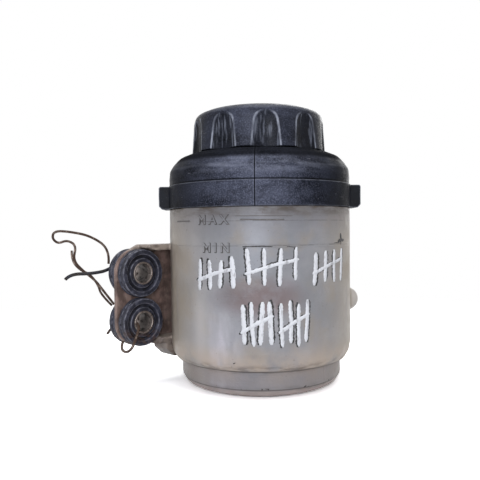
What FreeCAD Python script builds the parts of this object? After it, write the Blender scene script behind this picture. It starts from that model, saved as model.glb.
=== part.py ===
"""Power steering fluid reservoir, in millimetres.

The origin is the centre of the flat underside. +Z is up. The vessel's axis is the Z axis, and
the level marks face -Y. The mounting bracket stands on the vessel's left, at an angle to it.
"""

import FreeCAD
import Part
import math
import os

V = FreeCAD.Vector
X = V(1, 0, 0)
Y = V(0, 1, 0)
Z = V(0, 0, 1)
O = V(0, 0, 0)

# Vessel: translucent moulding with both hose connections on it
vessel_r = 42.0
vessel_wall = 2.6
vessel_bottom_z = 12.0
corner_top_z = 19.6
corner_inset = 2.8
corner_bulge_r = 0.3
corner_bulge_z = 0.42
ledge_thickness = 3.0
ledge_width = 3.6
inner_corner_r = 1.5
rim_top_z = 90.0
rim_wall = 1.2
corner_bottom_r = vessel_r - corner_inset
ledge_hole_r = corner_bottom_r - ledge_width

# Base cup: welded into the vessel's lower mouth
base_step = 2.2
base_wall = 2.4
base_floor = 2.4
base_foot_inset = 5.5
base_round_z = 4.4
weld_clearance = 0.1
spigot_height = 4.0
spigot_wall = 2.2
underside_recess = 0.8
foot_width = 6.5
base_r = corner_bottom_r - base_step
base_foot_r = base_r - base_foot_inset
underside_recess_r = base_foot_r - foot_width

# Collar: black moulding with the band, the dome and the filler neck
band_step = 0.5
band_lap = 10.0
band_rise = 0.5
dome_step = 0.5
dome_side_rise = 3.1
dome_edge_inset = 2.0
dome_edge_rise = 6.3
dome_top_inset = 7.6
dome_top_rise = 5.0
land_drop = 0.6
dome_side_bulge = (0.45, 0.3)
dome_shoulder_bulge = (0.6, 3.2)
dome_wall = 2.6
dome_wall_slant = 0.7
land_width = 4.8
neck_wall = 2.6
neck_height = 13.3
lap_clearance = 0.1
ear_depth = 4.1
ear_width = 14.0
ear_wall = 1.8
ear_floor = 2.0
ear_top_edge = 0.6
ear_low_edge = 1.4
ear_root = 1.0
catch_clearance = 0.25
catch_height = 4.6
catch_width = 9.0
band_edge = 0.4
band_r = vessel_r + band_step
dome_r = band_r - dome_step
dome_edge_r = dome_r - dome_edge_inset
dome_top_r = dome_edge_r - dome_top_inset
neck_r = dome_top_r - land_width
neck_bore_r = neck_r - neck_wall
ear_reach = band_r + ear_depth
band_bottom_z = rim_top_z - band_lap
band_top_z = rim_top_z + band_rise
dome_side_top_z = band_top_z + dome_side_rise
dome_edge_z = dome_side_top_z + dome_edge_rise
dome_top_z = dome_edge_z + dome_top_rise
land_z = dome_top_z - land_drop
neck_top_z = land_z + neck_height

# Seal between the vessel's rim and the collar
seal_thickness = 1.5
seal_overhang = 0.2

# Screw cap with scooped flutes, its liner, seal and vent valve
cap_wall = 2.9
cap_draft = 1.0
cap_gap = 0.5
cap_shoulder_rise = 1.6
cap_edge_round = 5.0
cap_crown_rise = 0.7
flute_count = 10
flute_phase_deg = -86.0
flute_cutter_r = 13.0
flute_depth = 1.7
flute_top_drop = 3.2
cap_seal_thickness = 1.6
seat_gap = 0.1
liner_flange = 1.4
liner_plug_depth = 6.0
liner_plug_wall = 1.7
plug_clearance = 0.3
swivel_stem_r = 3.6
swivel_clearance = 0.05
swivel_height = 2.0
cap_hollow_height = 1.0
thread_clearance = 0.7
press_land = 3.2
vent_disc_r = 8.0
vent_disc_edge = 0.5
vent_disc_depth = 1.8
vent_stem_flare = 1.0
vent_stem_r = 1.5
vent_hole_r = 1.0
vent_hole_circle_r = 5.4
vent_hole_count = 4

# Strainer, and the post in its hub that carries the baffle
strainer_clearance = 0.4
strainer_rim_width = 2.4
strainer_rim_height = 2.4
strainer_bottom_z = 29.4
strainer_hub_r = 7.0
spoke_count = 4
spoke_width = 2.4
spoke_height = 1.4
leg_width = 4.0
leg_depth = 1.8
mesh_thickness = 0.6
mesh_rings = 4
mesh_gaps_per_ring = 24
mesh_gap = 1.7
mesh_gap_ends = 1.0
post_r = 4.2
post_foot_r = 3.0
post_tip_r = 3.0
post_tip_height = 5.4
post_tip_edge = 1.0

# Baffle and the push-on clip that holds it on the post
baffle_z = 61.4
baffle_thickness = 1.8
baffle_clearance = 0.8
baffle_lip = 3.2
baffle_hub_r = 7.0
baffle_hub_height = 1.2
baffle_hub_draft = 1.0
baffle_bore_clearance = 0.05
baffle_hole_r = 4.0
baffle_hole_circle_r = 26.0
baffle_hole_count = 8
clip_r = 6.4
clip_thickness = 0.6
clip_notches = 6
clip_notch_width = 1.2
clip_notch_r = 4.2
clip_flat_inner_r = 4.8
clip_flat_outer_r = 5.0
clip_rise = 1.2

# Bracket: web plate with two flanges and a rib, in a frame turned about the vessel's axis.
# It is one moulding with the vessel, and meets the vessel's outside face to face.
bracket_turn_deg = 45.0
web_inset = 9.3
web_thickness = 2.2
bush_beyond_wall = 5.9
bush_low_z = 29.4
bracket_edge = 0.2
bracket_top_rise = 12.8
bracket_top_start = 1.1
bracket_shoulder_deg = 118.0
rail_thickness = 2.7
rail_depth = 8.0
bottom_rail_z = 18.9
rail_clearance = 0.5
gusset_top = (10.2, 18.9)
gusset_side = (10.4, 16.1)
gusset_foot = (14.9, 12.1)
web_root = 1.0
web_offset = vessel_r - web_inset
bush_reach = vessel_r + bush_beyond_wall

# Rubber bushes and steel sleeves
bush_r = 10.8
bush_spacing = 0.4
bush_pitch = 2 * bush_r + bush_spacing
bush_length = 12.0
bush_waist_r = 8.4
waist_clearance = 0.1
bush_lip = 2.4
bush_face_step = 1.5
bush_boss_r = 6.9
bush_groove_depth = 1.1
bush_groove_width = 1.4
bush_groove_at = 3.4
bush_groove_slant = 0.4
bush_edge = 0.8
bush_waist_edge = 0.5
bush_face_draft = 0.4
bush_boss_inset = 0.3
sleeve_r = 5.1
sleeve_bore_r = 4.2
sleeve_length = 12.8
sleeve_chamfer = 0.3

# Return connection: a tangential tube on the right with a rounded blind front end
return_inset = 0.4
return_z = 36.7
return_r = 5.5
return_bore_r = 3.7
return_front_y = 4.0
return_beyond_wall = 4.0
return_slot_y = 1.0
return_x = vessel_r - return_inset
return_tip_y = vessel_r + return_beyond_wall

# Outlet connection: low at the back
outlet_x = 0.0
outlet_z = 24.4
outlet_r = 8.2
outlet_bore_r = 5.8
outlet_beyond_wall = 22.0
outlet_tip_y = vessel_r + outlet_beyond_wall

# Hose beads on both connections
bead_height = 0.8
bead_length = 3.0
bead_inset = 2.5

# Extra length of cutting shapes beyond what they cut
cut_margin = 2.0

# Tie wire left on the bracket, as chosen points
wire_front_d = 1.2
wire_loop_d = 1.1
wire_stick_d = 1.5


def edges_along(start, steps):
    """Edges in the XZ plane: ("line", end) or ("arc", middle, end)."""
    edges = []
    here = V(start[0], 0, start[1])
    for step in steps:
        there = V(step[-1][0], 0, step[-1][1])
        if step[0] == "line":
            edges.append(Part.makeLine(here, there))
        else:
            middle = V(step[1][0], 0, step[1][1])
            edges.append(Part.Arc(here, middle, there).toShape())
        here = there
    return edges


def revolved(start, steps):
    """Solid of revolution about Z from a closed outline of radius and height."""
    edges = edges_along(start, steps + [("line", start)])
    face = Part.Face(Part.Wire(edges))
    return face.revolve(O, Z, 360)


def turned(points):
    """Solid of revolution about Z from straight-sided radius and height points."""
    return revolved(points[0], [("line", p) for p in points[1:]])


def along_y(shape):
    """Turn a shape made about Z so that its axis lies along +Y."""
    shape.rotate(O, X, -90)
    return shape


def in_bracket_frame(shape):
    """Turn a shape made square to the bracket to its place on the vessel."""
    shape.rotate(O, Z, bracket_turn_deg)
    return shape


def ring_of(shape, count, start_deg=0.0):
    """Copies of a shape evenly round Z."""
    copies = []
    for index in range(count):
        copy = shape.copy()
        copy.rotate(O, Z, start_deg + index * 360.0 / count)
        copies.append(copy)
    return copies


def arc_middle(centre, radius, angle_deg):
    """Point on a circle in the outline plane."""
    angle = math.radians(angle_deg)
    return (centre[0] + radius * math.cos(angle), centre[1] + radius * math.sin(angle))


def export(shape, node):
    """Write one node and print what it holds."""
    os.makedirs("parts", exist_ok=True)
    shape.exportStep("parts/" + node + ".step")
    print(node, "solids", len(shape.Solids), "volume %.1f" % shape.Volume, "valid", shape.isValid())


# Vessel

inner_r = vessel_r - vessel_wall
ledge_top_z = vessel_bottom_z + ledge_thickness
rim_outer_r = inner_r + rim_wall
bush_top_z = bush_low_z + bush_pitch
bracket_r = bush_r + bracket_edge
bracket_top_z = bush_top_z + bracket_top_rise


def vessel_shell():
    """Outside of the vessel, solid, with the rebated rim for the collar."""
    corner_middle = (
        vessel_r - (vessel_r - corner_bottom_r) * corner_bulge_r,
        vessel_bottom_z + (corner_top_z - vessel_bottom_z) * corner_bulge_z,
    )
    return revolved(
        (0, vessel_bottom_z),
        [
            ("line", (corner_bottom_r, vessel_bottom_z)),
            ("arc", corner_middle, (vessel_r, corner_top_z)),
            ("line", (vessel_r, band_bottom_z - lap_clearance)),
            ("line", (rim_outer_r, band_bottom_z - lap_clearance)),
            ("line", (rim_outer_r, rim_top_z)),
            ("line", (0, rim_top_z)),
        ],
    )


def vessel_cavity():
    """Inside of the vessel, down through the mouth for the base cup."""
    corner = (inner_r - inner_corner_r, ledge_top_z + inner_corner_r)
    return revolved(
        (0, vessel_bottom_z),
        [
            ("line", (ledge_hole_r, vessel_bottom_z)),
            ("line", (ledge_hole_r, ledge_top_z)),
            ("line", (corner[0], ledge_top_z)),
            ("arc", arc_middle(corner, inner_corner_r, -45), (inner_r, corner[1])),
            ("line", (inner_r, rim_top_z)),
            ("line", (0, rim_top_z)),
        ],
    )


def hose_tube(radius, length):
    """Hose connection about Z with a bead near its tip."""
    tip_z = length
    bead_start = tip_z - bead_inset - bead_length
    bead_top = tip_z - bead_inset
    return turned(
        [
            (0, 0),
            (radius, 0),
            (radius, bead_start),
            (radius + bead_height, bead_start + bead_height),
            (radius + bead_height, bead_top - bead_length / 3),
            (radius, bead_top),
            (radius - bead_height, tip_z),
            (0, tip_z),
        ]
    )


def return_tube():
    """Tangential return tube with its rounded blind front end."""
    tube = along_y(hose_tube(return_r, return_tip_y - return_front_y))
    nose = Part.makeSphere(return_r)
    tube = tube.fuse(nose)
    tube.translate(V(return_x, return_front_y, return_z))
    return tube


def outlet_tube():
    """Outlet tube from the vessel's middle to its tip."""
    tube = along_y(hose_tube(outlet_r, outlet_tip_y - inner_r + vessel_wall))
    tube.translate(V(outlet_x, inner_r - vessel_wall, outlet_z))
    return tube


def connection_bores():
    """Bores of both hose connections."""
    back = Part.makeCylinder(
        return_bore_r, return_tip_y, V(return_x, return_slot_y, return_z), Y
    )
    low = Part.makeCylinder(outlet_bore_r, outlet_tip_y, V(outlet_x, 0, outlet_z), Y)
    return [back, low]


def beside_bush(point):
    """Point of the bracket's outline from (distance right of the bush axis, height)."""
    return V(-bush_reach + point[0], 0, point[1])


def on_bush_edge(height, angle_deg):
    """Point of the bracket's outline round a bush."""
    along, up = arc_middle((-bush_reach, height), bracket_r, angle_deg)
    return V(along, 0, up)


def web_end():
    """How far the web runs into the vessel's wall, in the bracket's frame."""
    return -math.sqrt((corner_bottom_r - web_root) ** 2 - web_offset ** 2)


def web_outline():
    """Face of the web in the bracket's frame, rounded about each bush."""
    right = web_end()
    shoulder = on_bush_edge(bush_top_z, bracket_shoulder_deg)
    shoulder_middle = on_bush_edge(bush_top_z, (bracket_shoulder_deg + 180) / 2)
    top_left = on_bush_edge(bush_top_z, 180)
    low_left = on_bush_edge(bush_low_z, 180)
    low_middle = on_bush_edge(bush_low_z, 225)
    low_end = on_bush_edge(bush_low_z, 270)
    corners = [
        low_end,
        beside_bush(gusset_top),
        beside_bush(gusset_side),
        beside_bush(gusset_foot),
        V(right, 0, gusset_foot[1]),
        V(right, 0, bracket_top_z),
        beside_bush((bracket_top_start, bracket_top_z)),
        shoulder,
    ]
    edges = [Part.makeLine(here, there) for here, there in zip(corners, corners[1:])]
    edges.append(Part.Arc(shoulder, shoulder_middle, top_left).toShape())
    edges.append(Part.makeLine(top_left, low_left))
    edges.append(Part.Arc(low_left, low_middle, low_end).toShape())
    return Part.Face(Part.Wire(edges))


def gusset(front):
    """Block under the bottom flange, in front of the web."""
    right = web_end()
    outline = [beside_bush(point) for point in (gusset_top, gusset_side, gusset_foot)]
    outline += [V(right, 0, gusset_foot[1]), V(right, 0, gusset_top[1]), outline[0]]
    block = Part.Face(Part.makePolygon(outline))
    block.translate(V(0, front - rail_depth, 0))
    return block.extrude(V(0, rail_depth + web_thickness / 2, 0))


def bush_clearance(radius, low_y, high_y):
    """Cylinders about both bush axes, in the bracket's frame."""
    cutters = []
    for height in (bush_low_z, bush_top_z):
        base = V(-bush_reach, low_y, height)
        cutters.append(Part.makeCylinder(radius, high_y - low_y, base, Y))
    return cutters


def make_bracket():
    """Web, two flanges towards the front and the holes for the bushes."""
    front = web_offset - web_thickness / 2
    web = web_outline()
    web.translate(V(0, front, 0))
    web = web.extrude(V(0, web_thickness, 0))
    rail_start = bracket_top_start - bush_reach
    rail_end = -math.sqrt(vessel_r ** 2 - web_offset ** 2) + vessel_wall / 2
    rails = []
    for low in (bracket_top_z - rail_thickness, bottom_rail_z):
        rail = Part.makeBox(
            rail_end - rail_start, rail_depth + web_thickness / 2, rail_thickness,
            V(rail_start, front - rail_depth, low),
        )
        rails.append(rail)
    keep_clear = bush_clearance(bush_r + rail_clearance, front - rail_depth - cut_margin, front)
    rails = [rail.cut(keep_clear) for rail in rails]
    body = web.fuse(rails + [gusset(front)])
    holes = bush_clearance(
        bush_waist_r + waist_clearance, front - cut_margin, front + web_thickness + cut_margin
    )
    return in_bracket_frame(body.cut(holes)).cut(vessel_shell()).removeSplitter()


def catches():
    """Wedges on the rim that the collar's ears snap over."""
    low = band_bottom_z + ear_floor + catch_clearance
    reach = ear_reach - ear_wall - catch_clearance
    inside = rim_outer_r - rim_wall / 2
    outline = [
        V(inside, 0, low),
        V(reach, 0, low),
        V(reach, 0, low + catch_height / 3),
        V(inside, 0, low + catch_height),
        V(inside, 0, low),
    ]
    wedge = Part.Face(Part.makePolygon(outline)).extrude(V(0, catch_width, 0))
    wedge.translate(V(0, -catch_width / 2, 0))
    return ring_of(wedge, 2)


def make_vessel():
    """Barrel of the vessel with both connections and the catches."""
    body = vessel_shell().fuse([return_tube(), outlet_tube()] + catches())
    body = body.cut([vessel_cavity()] + connection_bores())
    return body.removeSplitter()


def make_base_cup():
    """Stepped base with a spigot that plugs into the vessel."""
    spigot_r = ledge_hole_r - weld_clearance
    top_z = vessel_bottom_z
    inside_r = base_r - base_wall
    spigot_inner = spigot_r - spigot_wall
    floor_z = base_floor + underside_recess
    overhang = base_r - base_foot_r
    round_r = (overhang ** 2 + base_round_z ** 2) / (2 * base_round_z)
    half_turn = math.degrees(math.atan2(overhang, round_r - base_round_z)) / 2
    round_middle = arc_middle((base_foot_r, round_r), round_r, half_turn - 90)
    return revolved(
        (0, underside_recess),
        [
            ("line", (underside_recess_r, underside_recess)),
            ("line", (underside_recess_r + underside_recess, 0)),
            ("line", (base_foot_r, 0)),
            ("arc", round_middle, (base_r, base_round_z)),
            ("line", (base_r, top_z)),
            ("line", (spigot_r, top_z)),
            ("line", (spigot_r, top_z + spigot_height)),
            ("line", (spigot_inner, top_z + spigot_height)),
            ("line", (spigot_inner, top_z - base_wall / 2)),
            ("line", (inside_r, top_z - base_wall)),
            ("line", (inside_r, floor_z + base_floor)),
            ("line", (inside_r - base_floor, floor_z)),
            ("line", (0, floor_z)),
        ],
    )


# Collar

collar_lap_r = rim_outer_r + lap_clearance
seal_top_z = rim_top_z + seal_thickness


def collar_body():
    """Band, dome and filler neck as one revolved wall."""
    dome_middle = (
        dome_r - dome_side_bulge[0],
        (dome_side_top_z + dome_edge_z) / 2 + dome_side_bulge[1],
    )
    shoulder_middle = (
        (dome_edge_r + dome_top_r) / 2 + dome_shoulder_bulge[0],
        dome_edge_z + dome_shoulder_bulge[1],
    )
    inner_side_r = inner_r - seal_overhang
    inner_dome_r = dome_edge_r - dome_wall
    inner_dome_z = dome_edge_z - dome_wall * dome_wall_slant
    return revolved(
        (collar_lap_r, band_bottom_z),
        [
            ("line", (band_r - band_edge, band_bottom_z)),
            ("line", (band_r, band_bottom_z + band_edge)),
            ("line", (band_r, band_top_z - band_edge)),
            ("line", (band_r - band_edge, band_top_z)),
            ("line", (dome_r, band_top_z)),
            ("line", (dome_r, dome_side_top_z)),
            ("arc", dome_middle, (dome_edge_r, dome_edge_z)),
            ("arc", shoulder_middle, (dome_top_r, dome_top_z)),
            ("line", (dome_top_r - band_edge, land_z)),
            ("line", (neck_r, land_z)),
            ("line", (neck_r, neck_top_z - band_edge)),
            ("line", (neck_r - band_edge, neck_top_z)),
            ("line", (neck_bore_r, neck_top_z)),
            ("line", (neck_bore_r, land_z - dome_wall)),
            ("line", (dome_top_r - dome_wall / 2, land_z - dome_wall)),
            ("line", (inner_dome_r, inner_dome_z)),
            ("line", (inner_side_r, dome_side_top_z)),
            ("line", (inner_side_r, seal_top_z)),
            ("line", (collar_lap_r, seal_top_z)),
        ],
    )


def ear():
    """Box on the band with the pocket for the catch, on the +X side."""
    top_z = band_top_z
    inside = collar_lap_r - ear_root
    outline = [
        V(inside, 0, band_bottom_z),
        V(ear_reach - ear_low_edge, 0, band_bottom_z),
        V(ear_reach, 0, band_bottom_z + ear_low_edge),
        V(ear_reach, 0, top_z - ear_top_edge),
        V(ear_reach - ear_top_edge, 0, top_z),
        V(inside, 0, top_z),
        V(inside, 0, band_bottom_z),
    ]
    block = Part.Face(Part.makePolygon(outline)).extrude(V(0, ear_width, 0))
    block.translate(V(0, -ear_width / 2, 0))
    return block


def ear_pocket():
    """Space inside an ear for the catch."""
    low = band_bottom_z + ear_floor
    width = ear_width - 2 * ear_wall
    height = catch_height + 2 * catch_clearance
    reach = ear_reach - ear_wall
    return Part.makeBox(reach, width, height, V(0, -width / 2, low))


def make_collar():
    """Black collar with both ears."""
    bore = Part.makeCylinder(collar_lap_r, seal_top_z - band_bottom_z, V(0, 0, band_bottom_z))
    ears = [block.cut(bore) for block in ring_of(ear(), 2)]
    body = collar_body().fuse(ears)
    core = Part.makeCylinder(inner_r, neck_top_z, O)
    pockets = [pocket.cut(core) for pocket in ring_of(ear_pocket(), 2)]
    return body.cut(pockets).removeSplitter()


def make_collar_seal():
    """Flat ring between the vessel's rim and the collar's ledge."""
    return turned(
        [
            (inner_r, rim_top_z),
            (rim_outer_r, rim_top_z),
            (rim_outer_r, seal_top_z),
            (inner_r, seal_top_z),
        ]
    )


# Cap group

cap_skirt_r = neck_r + thread_clearance + cap_wall
cap_shoulder_r = cap_skirt_r - cap_draft
cap_bottom_z = dome_top_z + cap_gap
cap_shoulder_z = neck_top_z + cap_shoulder_rise
flute_top_z = cap_shoulder_z - flute_top_drop
cap_seal_z = neck_top_z + seat_gap
liner_z = cap_seal_z + cap_seal_thickness
liner_top_z = liner_z + liner_flange
cap_under_z = liner_top_z + cap_hollow_height
cap_top_edge_z = cap_shoulder_z + cap_edge_round


def cap_blank():
    """Cap without its flutes: skirt, shoulder, crowned top and hollow inside."""
    flat_r = cap_shoulder_r - cap_edge_round
    crown_z = cap_top_edge_z + cap_crown_rise
    thread_r = neck_r + thread_clearance
    press_r = neck_r - press_land
    shoulder_middle = arc_middle((flat_r, cap_shoulder_z), cap_edge_round, 45)
    crown_r = (flat_r ** 2 + cap_crown_rise ** 2) / (2 * cap_crown_rise)
    crown_middle = arc_middle(
        (0, crown_z - crown_r), crown_r, 90 - math.degrees(math.asin(flat_r / crown_r)) / 2
    )
    stem_r = swivel_stem_r + swivel_clearance
    stem_top = liner_top_z + swivel_height + swivel_clearance
    return revolved(
        (thread_r, cap_bottom_z),
        [
            ("line", (cap_skirt_r - band_edge, cap_bottom_z)),
            ("line", (cap_skirt_r, cap_bottom_z + band_edge)),
            ("line", (cap_shoulder_r, cap_shoulder_z)),
            ("arc", shoulder_middle, (flat_r, cap_top_edge_z)),
            ("arc", crown_middle, (0, crown_z)),
            ("line", (0, stem_top)),
            ("line", (stem_r, stem_top)),
            ("line", (stem_r, cap_under_z)),
            ("line", (press_r, cap_under_z)),
            ("line", (press_r, liner_top_z + swivel_clearance)),
            ("line", (thread_r, liner_top_z + swivel_clearance)),
        ],
    )


def flute_cutter():
    """Scoop with a round top, on the +X side."""
    centre = (cap_skirt_r + cap_shoulder_r) / 2 - flute_depth + flute_cutter_r
    post = Part.makeCylinder(
        flute_cutter_r, flute_top_z - cap_bottom_z + cut_margin,
        V(centre, 0, cap_bottom_z - cut_margin),
    )
    dome = Part.makeSphere(flute_cutter_r, V(centre, 0, flute_top_z))
    return post.fuse(dome)


def make_filler_cap():
    """Fluted screw cap."""
    return cap_blank().cut(ring_of(flute_cutter(), flute_count, flute_phase_deg))


def make_cap_seal():
    """Rubber ring on the neck's rim."""
    return turned(
        [
            (neck_bore_r + plug_clearance, cap_seal_z),
            (neck_r - band_edge, cap_seal_z),
            (neck_r - band_edge, liner_z),
            (neck_bore_r + plug_clearance, liner_z),
        ]
    )


def make_cap_liner():
    """Liner that stays still while the cap turns: flange, plug, stem and vent holes."""
    plug_r = neck_bore_r - plug_clearance
    plug_inner = plug_r - liner_plug_wall
    body = turned(
        [
            (0, liner_z),
            (plug_inner, liner_z),
            (plug_inner, liner_z - liner_plug_depth),
            (plug_r, liner_z - liner_plug_depth),
            (plug_r, liner_z),
            (neck_r - band_edge, liner_z),
            (neck_r - band_edge, liner_top_z),
            (swivel_stem_r, liner_top_z),
            (swivel_stem_r, liner_top_z + swivel_height),
            (0, liner_top_z + swivel_height),
        ]
    )
    hole = Part.makeCylinder(
        vent_hole_r, liner_flange + 2 * cut_margin, V(vent_hole_circle_r, 0, liner_z - cut_margin)
    )
    stem_hole = Part.makeCylinder(vent_stem_r + swivel_clearance, liner_flange, V(0, 0, liner_z))
    holes = ring_of(hole, vent_hole_count, 180.0 / vent_hole_count)
    return body.cut(holes + [stem_hole])


def make_vent_valve():
    """Rubber umbrella valve under the liner, with its stem in the liner."""
    disc_z = liner_z - vent_disc_depth
    return turned(
        [
            (0, disc_z),
            (vent_stem_r + vent_stem_flare, disc_z),
            (vent_disc_r, liner_z - vent_disc_edge),
            (vent_disc_r, liner_z),
            (vent_stem_r, liner_z),
            (vent_stem_r, liner_z + liner_flange - swivel_clearance),
            (0, liner_z + liner_flange - swivel_clearance),
        ]
    )


# Strainer and baffle

strainer_r = inner_r - strainer_clearance
strainer_top_z = strainer_bottom_z + strainer_rim_height


def make_strainer_frame():
    """Rim, hub, spokes and legs."""
    rim_inner = strainer_r - strainer_rim_width
    rim = Part.makeCylinder(strainer_r, strainer_rim_height, V(0, 0, strainer_bottom_z))
    rim = rim.cut(Part.makeCylinder(rim_inner, strainer_rim_height, V(0, 0, strainer_bottom_z)))
    hub = turned(
        [
            (post_foot_r, strainer_bottom_z),
            (strainer_hub_r, strainer_bottom_z),
            (strainer_hub_r, strainer_top_z),
            (post_foot_r, strainer_top_z),
        ]
    )
    spoke_start = (strainer_hub_r + post_foot_r) / 2
    spoke_length = strainer_r - strainer_rim_width / 2 - spoke_start
    spoke = Part.makeBox(
        spoke_length, spoke_width, spoke_height,
        V(spoke_start, -spoke_width / 2, strainer_bottom_z),
    )
    foot_r = inner_r - inner_corner_r - strainer_clearance
    leg = Part.makeBox(
        leg_depth, leg_width, strainer_bottom_z - ledge_top_z + strainer_rim_height / 2,
        V(foot_r - leg_depth, -leg_width / 2, ledge_top_z),
    )
    half_step = 180.0 / spoke_count
    pieces = ring_of(spoke, spoke_count) + ring_of(leg, spoke_count, half_step)
    return rim.fuse([hub] + pieces).removeSplitter()


def make_baffle_post():
    """Stepped post, its foot pressed into the strainer's hub."""
    tip_z = baffle_z + post_tip_height
    return turned(
        [
            (0, strainer_bottom_z),
            (post_foot_r, strainer_bottom_z),
            (post_foot_r, strainer_top_z),
            (post_r, strainer_top_z),
            (post_r, baffle_z),
            (post_tip_r, baffle_z),
            (post_tip_r, tip_z - post_tip_edge),
            (post_tip_r - post_tip_edge, tip_z),
            (0, tip_z),
        ]
    )


def make_strainer_mesh():
    """Perforated disc lying on the spokes, round the hub."""
    low = strainer_bottom_z + spoke_height
    outer = strainer_r - strainer_rim_width - weld_clearance
    inner = strainer_hub_r + weld_clearance
    disc = Part.makeCylinder(outer, mesh_thickness, V(0, 0, low))
    disc = disc.cut(Part.makeCylinder(inner, mesh_thickness, V(0, 0, low)))
    gaps = []
    spacing = (outer - inner) / (mesh_rings + 1)
    for ring in range(mesh_rings):
        radius = inner + spacing * (ring + 1)
        length = mesh_gap * radius / outer + mesh_gap_ends
        gap = Part.makeBox(
            mesh_gap, length, mesh_thickness * 3,
            V(radius - mesh_gap / 2, -length / 2, low - mesh_thickness),
        )
        gaps += ring_of(gap, mesh_gaps_per_ring, ring * 180.0 / mesh_gaps_per_ring)
    return disc.cut(gaps)


def make_baffle():
    """Disc with a down-turned lip, holes and a hub on the strainer's post."""
    outer = inner_r - baffle_clearance
    top = baffle_z + baffle_thickness
    bore = post_tip_r + baffle_bore_clearance
    body = turned(
        [
            (bore, baffle_z),
            (outer - baffle_thickness, baffle_z),
            (outer - baffle_thickness, baffle_z - baffle_lip),
            (outer, baffle_z - baffle_lip),
            (outer, top),
            (baffle_hub_r, top),
            (baffle_hub_r - baffle_hub_draft, top + baffle_hub_height),
            (bore, top + baffle_hub_height),
        ]
    )
    hole = Part.makeCylinder(
        baffle_hole_r, baffle_thickness + 2 * cut_margin,
        V(baffle_hole_circle_r, 0, baffle_z - cut_margin),
    )
    return body.cut(ring_of(hole, baffle_hole_count, 180.0 / baffle_hole_count))


def make_baffle_clip():
    """Push-on steel clip with notches round its bore."""
    low = baffle_z + baffle_thickness + baffle_hub_height
    bore = post_tip_r + baffle_bore_clearance
    plate = turned(
        [
            (bore, low + clip_thickness),
            (clip_flat_inner_r, low),
            (clip_r, low),
            (clip_r, low + clip_thickness),
            (clip_flat_outer_r, low + clip_thickness),
            (bore, low + clip_thickness * (1 + clip_rise)),
        ]
    )
    notch = Part.makeBox(
        clip_notch_r, clip_notch_width, clip_thickness * 6,
        V(0, -clip_notch_width / 2, low - clip_thickness),
    )
    return plate.cut(ring_of(notch, clip_notches, 180.0 / clip_notches))


# Bushes and sleeves

def bush_about_z():
    """Grooved rubber bush about Z, centred on the web's middle."""
    half = bush_length / 2
    neck = web_thickness / 2 + waist_clearance
    bush_bore = sleeve_r
    ring_inner = bush_r - bush_lip
    groove_low = bush_groove_at - bush_groove_width / 2
    groove_high = bush_groove_at + bush_groove_width / 2
    side = [
        (bush_waist_r, neck),
        (bush_r - bush_waist_edge, neck),
        (bush_r, neck + bush_waist_edge),
        (bush_r, groove_low),
        (bush_r - bush_groove_depth, groove_low + bush_groove_slant),
        (bush_r - bush_groove_depth, groove_high - bush_groove_slant),
        (bush_r, groove_high),
        (bush_r, half - bush_edge),
        (bush_r - bush_edge, half),
        (ring_inner, half),
        (ring_inner - bush_face_draft, half - bush_face_step),
        (bush_boss_r, half - bush_face_step),
        (bush_boss_r - bush_boss_inset, half - bush_boss_inset),
        (bush_bore, half - bush_boss_inset),
    ]
    mirrored = [(r, -z) for r, z in reversed(side)]
    return turned(side + mirrored)


def sleeve_about_z():
    """Steel sleeve about Z with small chamfers at its bore."""
    half = sleeve_length / 2
    return turned(
        [
            (sleeve_bore_r, -half + sleeve_chamfer),
            (sleeve_bore_r + sleeve_chamfer, -half),
            (sleeve_r, -half),
            (sleeve_r, half),
            (sleeve_bore_r + sleeve_chamfer, half),
            (sleeve_bore_r, half - sleeve_chamfer),
        ]
    )


def on_bush_axis(shape, height):
    """Place a shape made about Z on a bush axis at a height."""
    along_y(shape)
    shape.translate(V(-bush_reach, web_offset, height))
    return in_bracket_frame(shape)


# Tie wires

wire_front_points = [
    (-61.5, -18.8, 21.8),
    (-62.3, -20.2, 19.0),
    (-60.2, -22.0, 17.2),
    (-57.0, -23.2, 18.6),
    (-54.9, -22.2, 24.0),
    (-53.7, -19.0, 29.8),
    (-65.4, -3.6, 29.1),
    (-69.6, -2.2, 26.0),
    (-71.8, -4.9, 22.4),
]
wire_loop_points = [
    (-67.3, -10.0, 37.0),
    (-71.0, -13.8, 43.4),
    (-74.2, -14.6, 48.2),
    (-79.6, -14.8, 52.5),
    (-83.9, -16.2, 57.6),
    (-82.6, -14.6, 64.2),
    (-87.6, -12.2, 66.6),
    (-91.8, -11.8, 64.9),
    (-94.0, -13.4, 67.6),
    (-92.0, -15.8, 70.8),
    (-84.5, -18.4, 70.4),
    (-75.5, -17.0, 68.4),
    (-68.2, -12.4, 62.3),
    (-68.9, -12.4, 55.6),
]
wire_stick_points = [
    (-58.6, -2.0, 61.4),
    (-67.6, -11.2, 52.9),
    (-75.8, -16.4, 51.5),
    (-84.6, -17.6, 51.6),
    (-87.0, -17.3, 49.2),
]


def bend(before, corner, after, name):
    """Tangent arc at a corner of a route: start, middle and end points."""
    back = before - corner
    ahead = after - corner
    turn = math.pi - back.getAngle(ahead)
    radius = 0.45 * min(back.Length, ahead.Length) / math.tan(turn / 2)
    reach = radius * math.tan(turn / 2)
    back.normalize()
    ahead.normalize()
    inward = back + ahead
    inward.normalize()
    depth = radius / math.cos(turn / 2) - radius
    print(name, "bend radius %.1f turn %.0f" % (radius, math.degrees(turn)))
    return corner + back * reach, corner + inward * depth, corner + ahead * reach


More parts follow.
